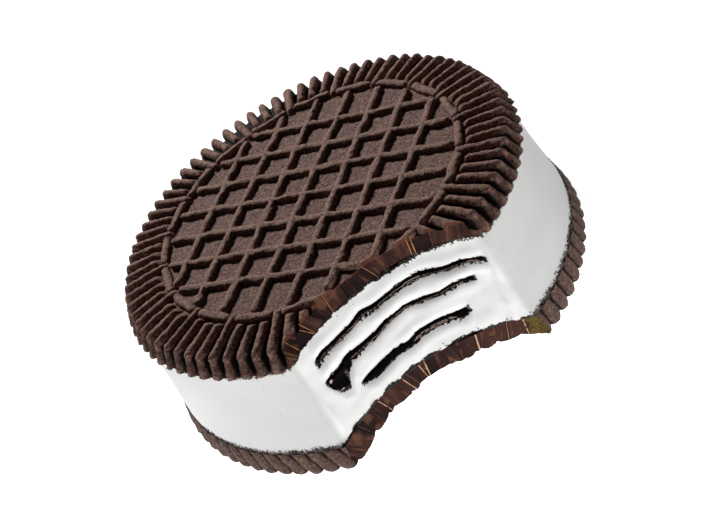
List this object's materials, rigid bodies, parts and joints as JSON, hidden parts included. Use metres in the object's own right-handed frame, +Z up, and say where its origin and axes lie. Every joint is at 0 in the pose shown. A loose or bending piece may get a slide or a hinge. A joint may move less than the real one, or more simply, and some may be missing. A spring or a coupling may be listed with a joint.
{
  "type": "chocolate cream sandwich cookie",
  "caption": "Round chocolate sandwich cookie with a thick white cream filling between two stamped wafers, with one bite taken out that shows dark ripple layers.",
  "frame": {"origin": "middle of the lattice on the lower wafer's stamped face, on the plane that the cookie rests on", "axes": "+Z up along the cookie's round axis, -Y towards the bitten side, +X to the right as seen from the bitten side"},
  "size_m": [0.084, 0.0792, 0.0282],
  "materials": {
    "cocoa_wafer": "dry and grainy, matt",
    "white_cream": "smooth, soft satin",
    "dark_chocolate": "wet gloss"
  },
  "bodies": {
    "root": {"top_wafer": "cocoa_wafer", "bottom_wafer": "cocoa_wafer", "cream_filling": "white_cream", "chocolate_layer_upper": "dark_chocolate", "chocolate_layer_middle": "dark_chocolate", "chocolate_layer_lower": "dark_chocolate"}
  },
  "joints": []
}
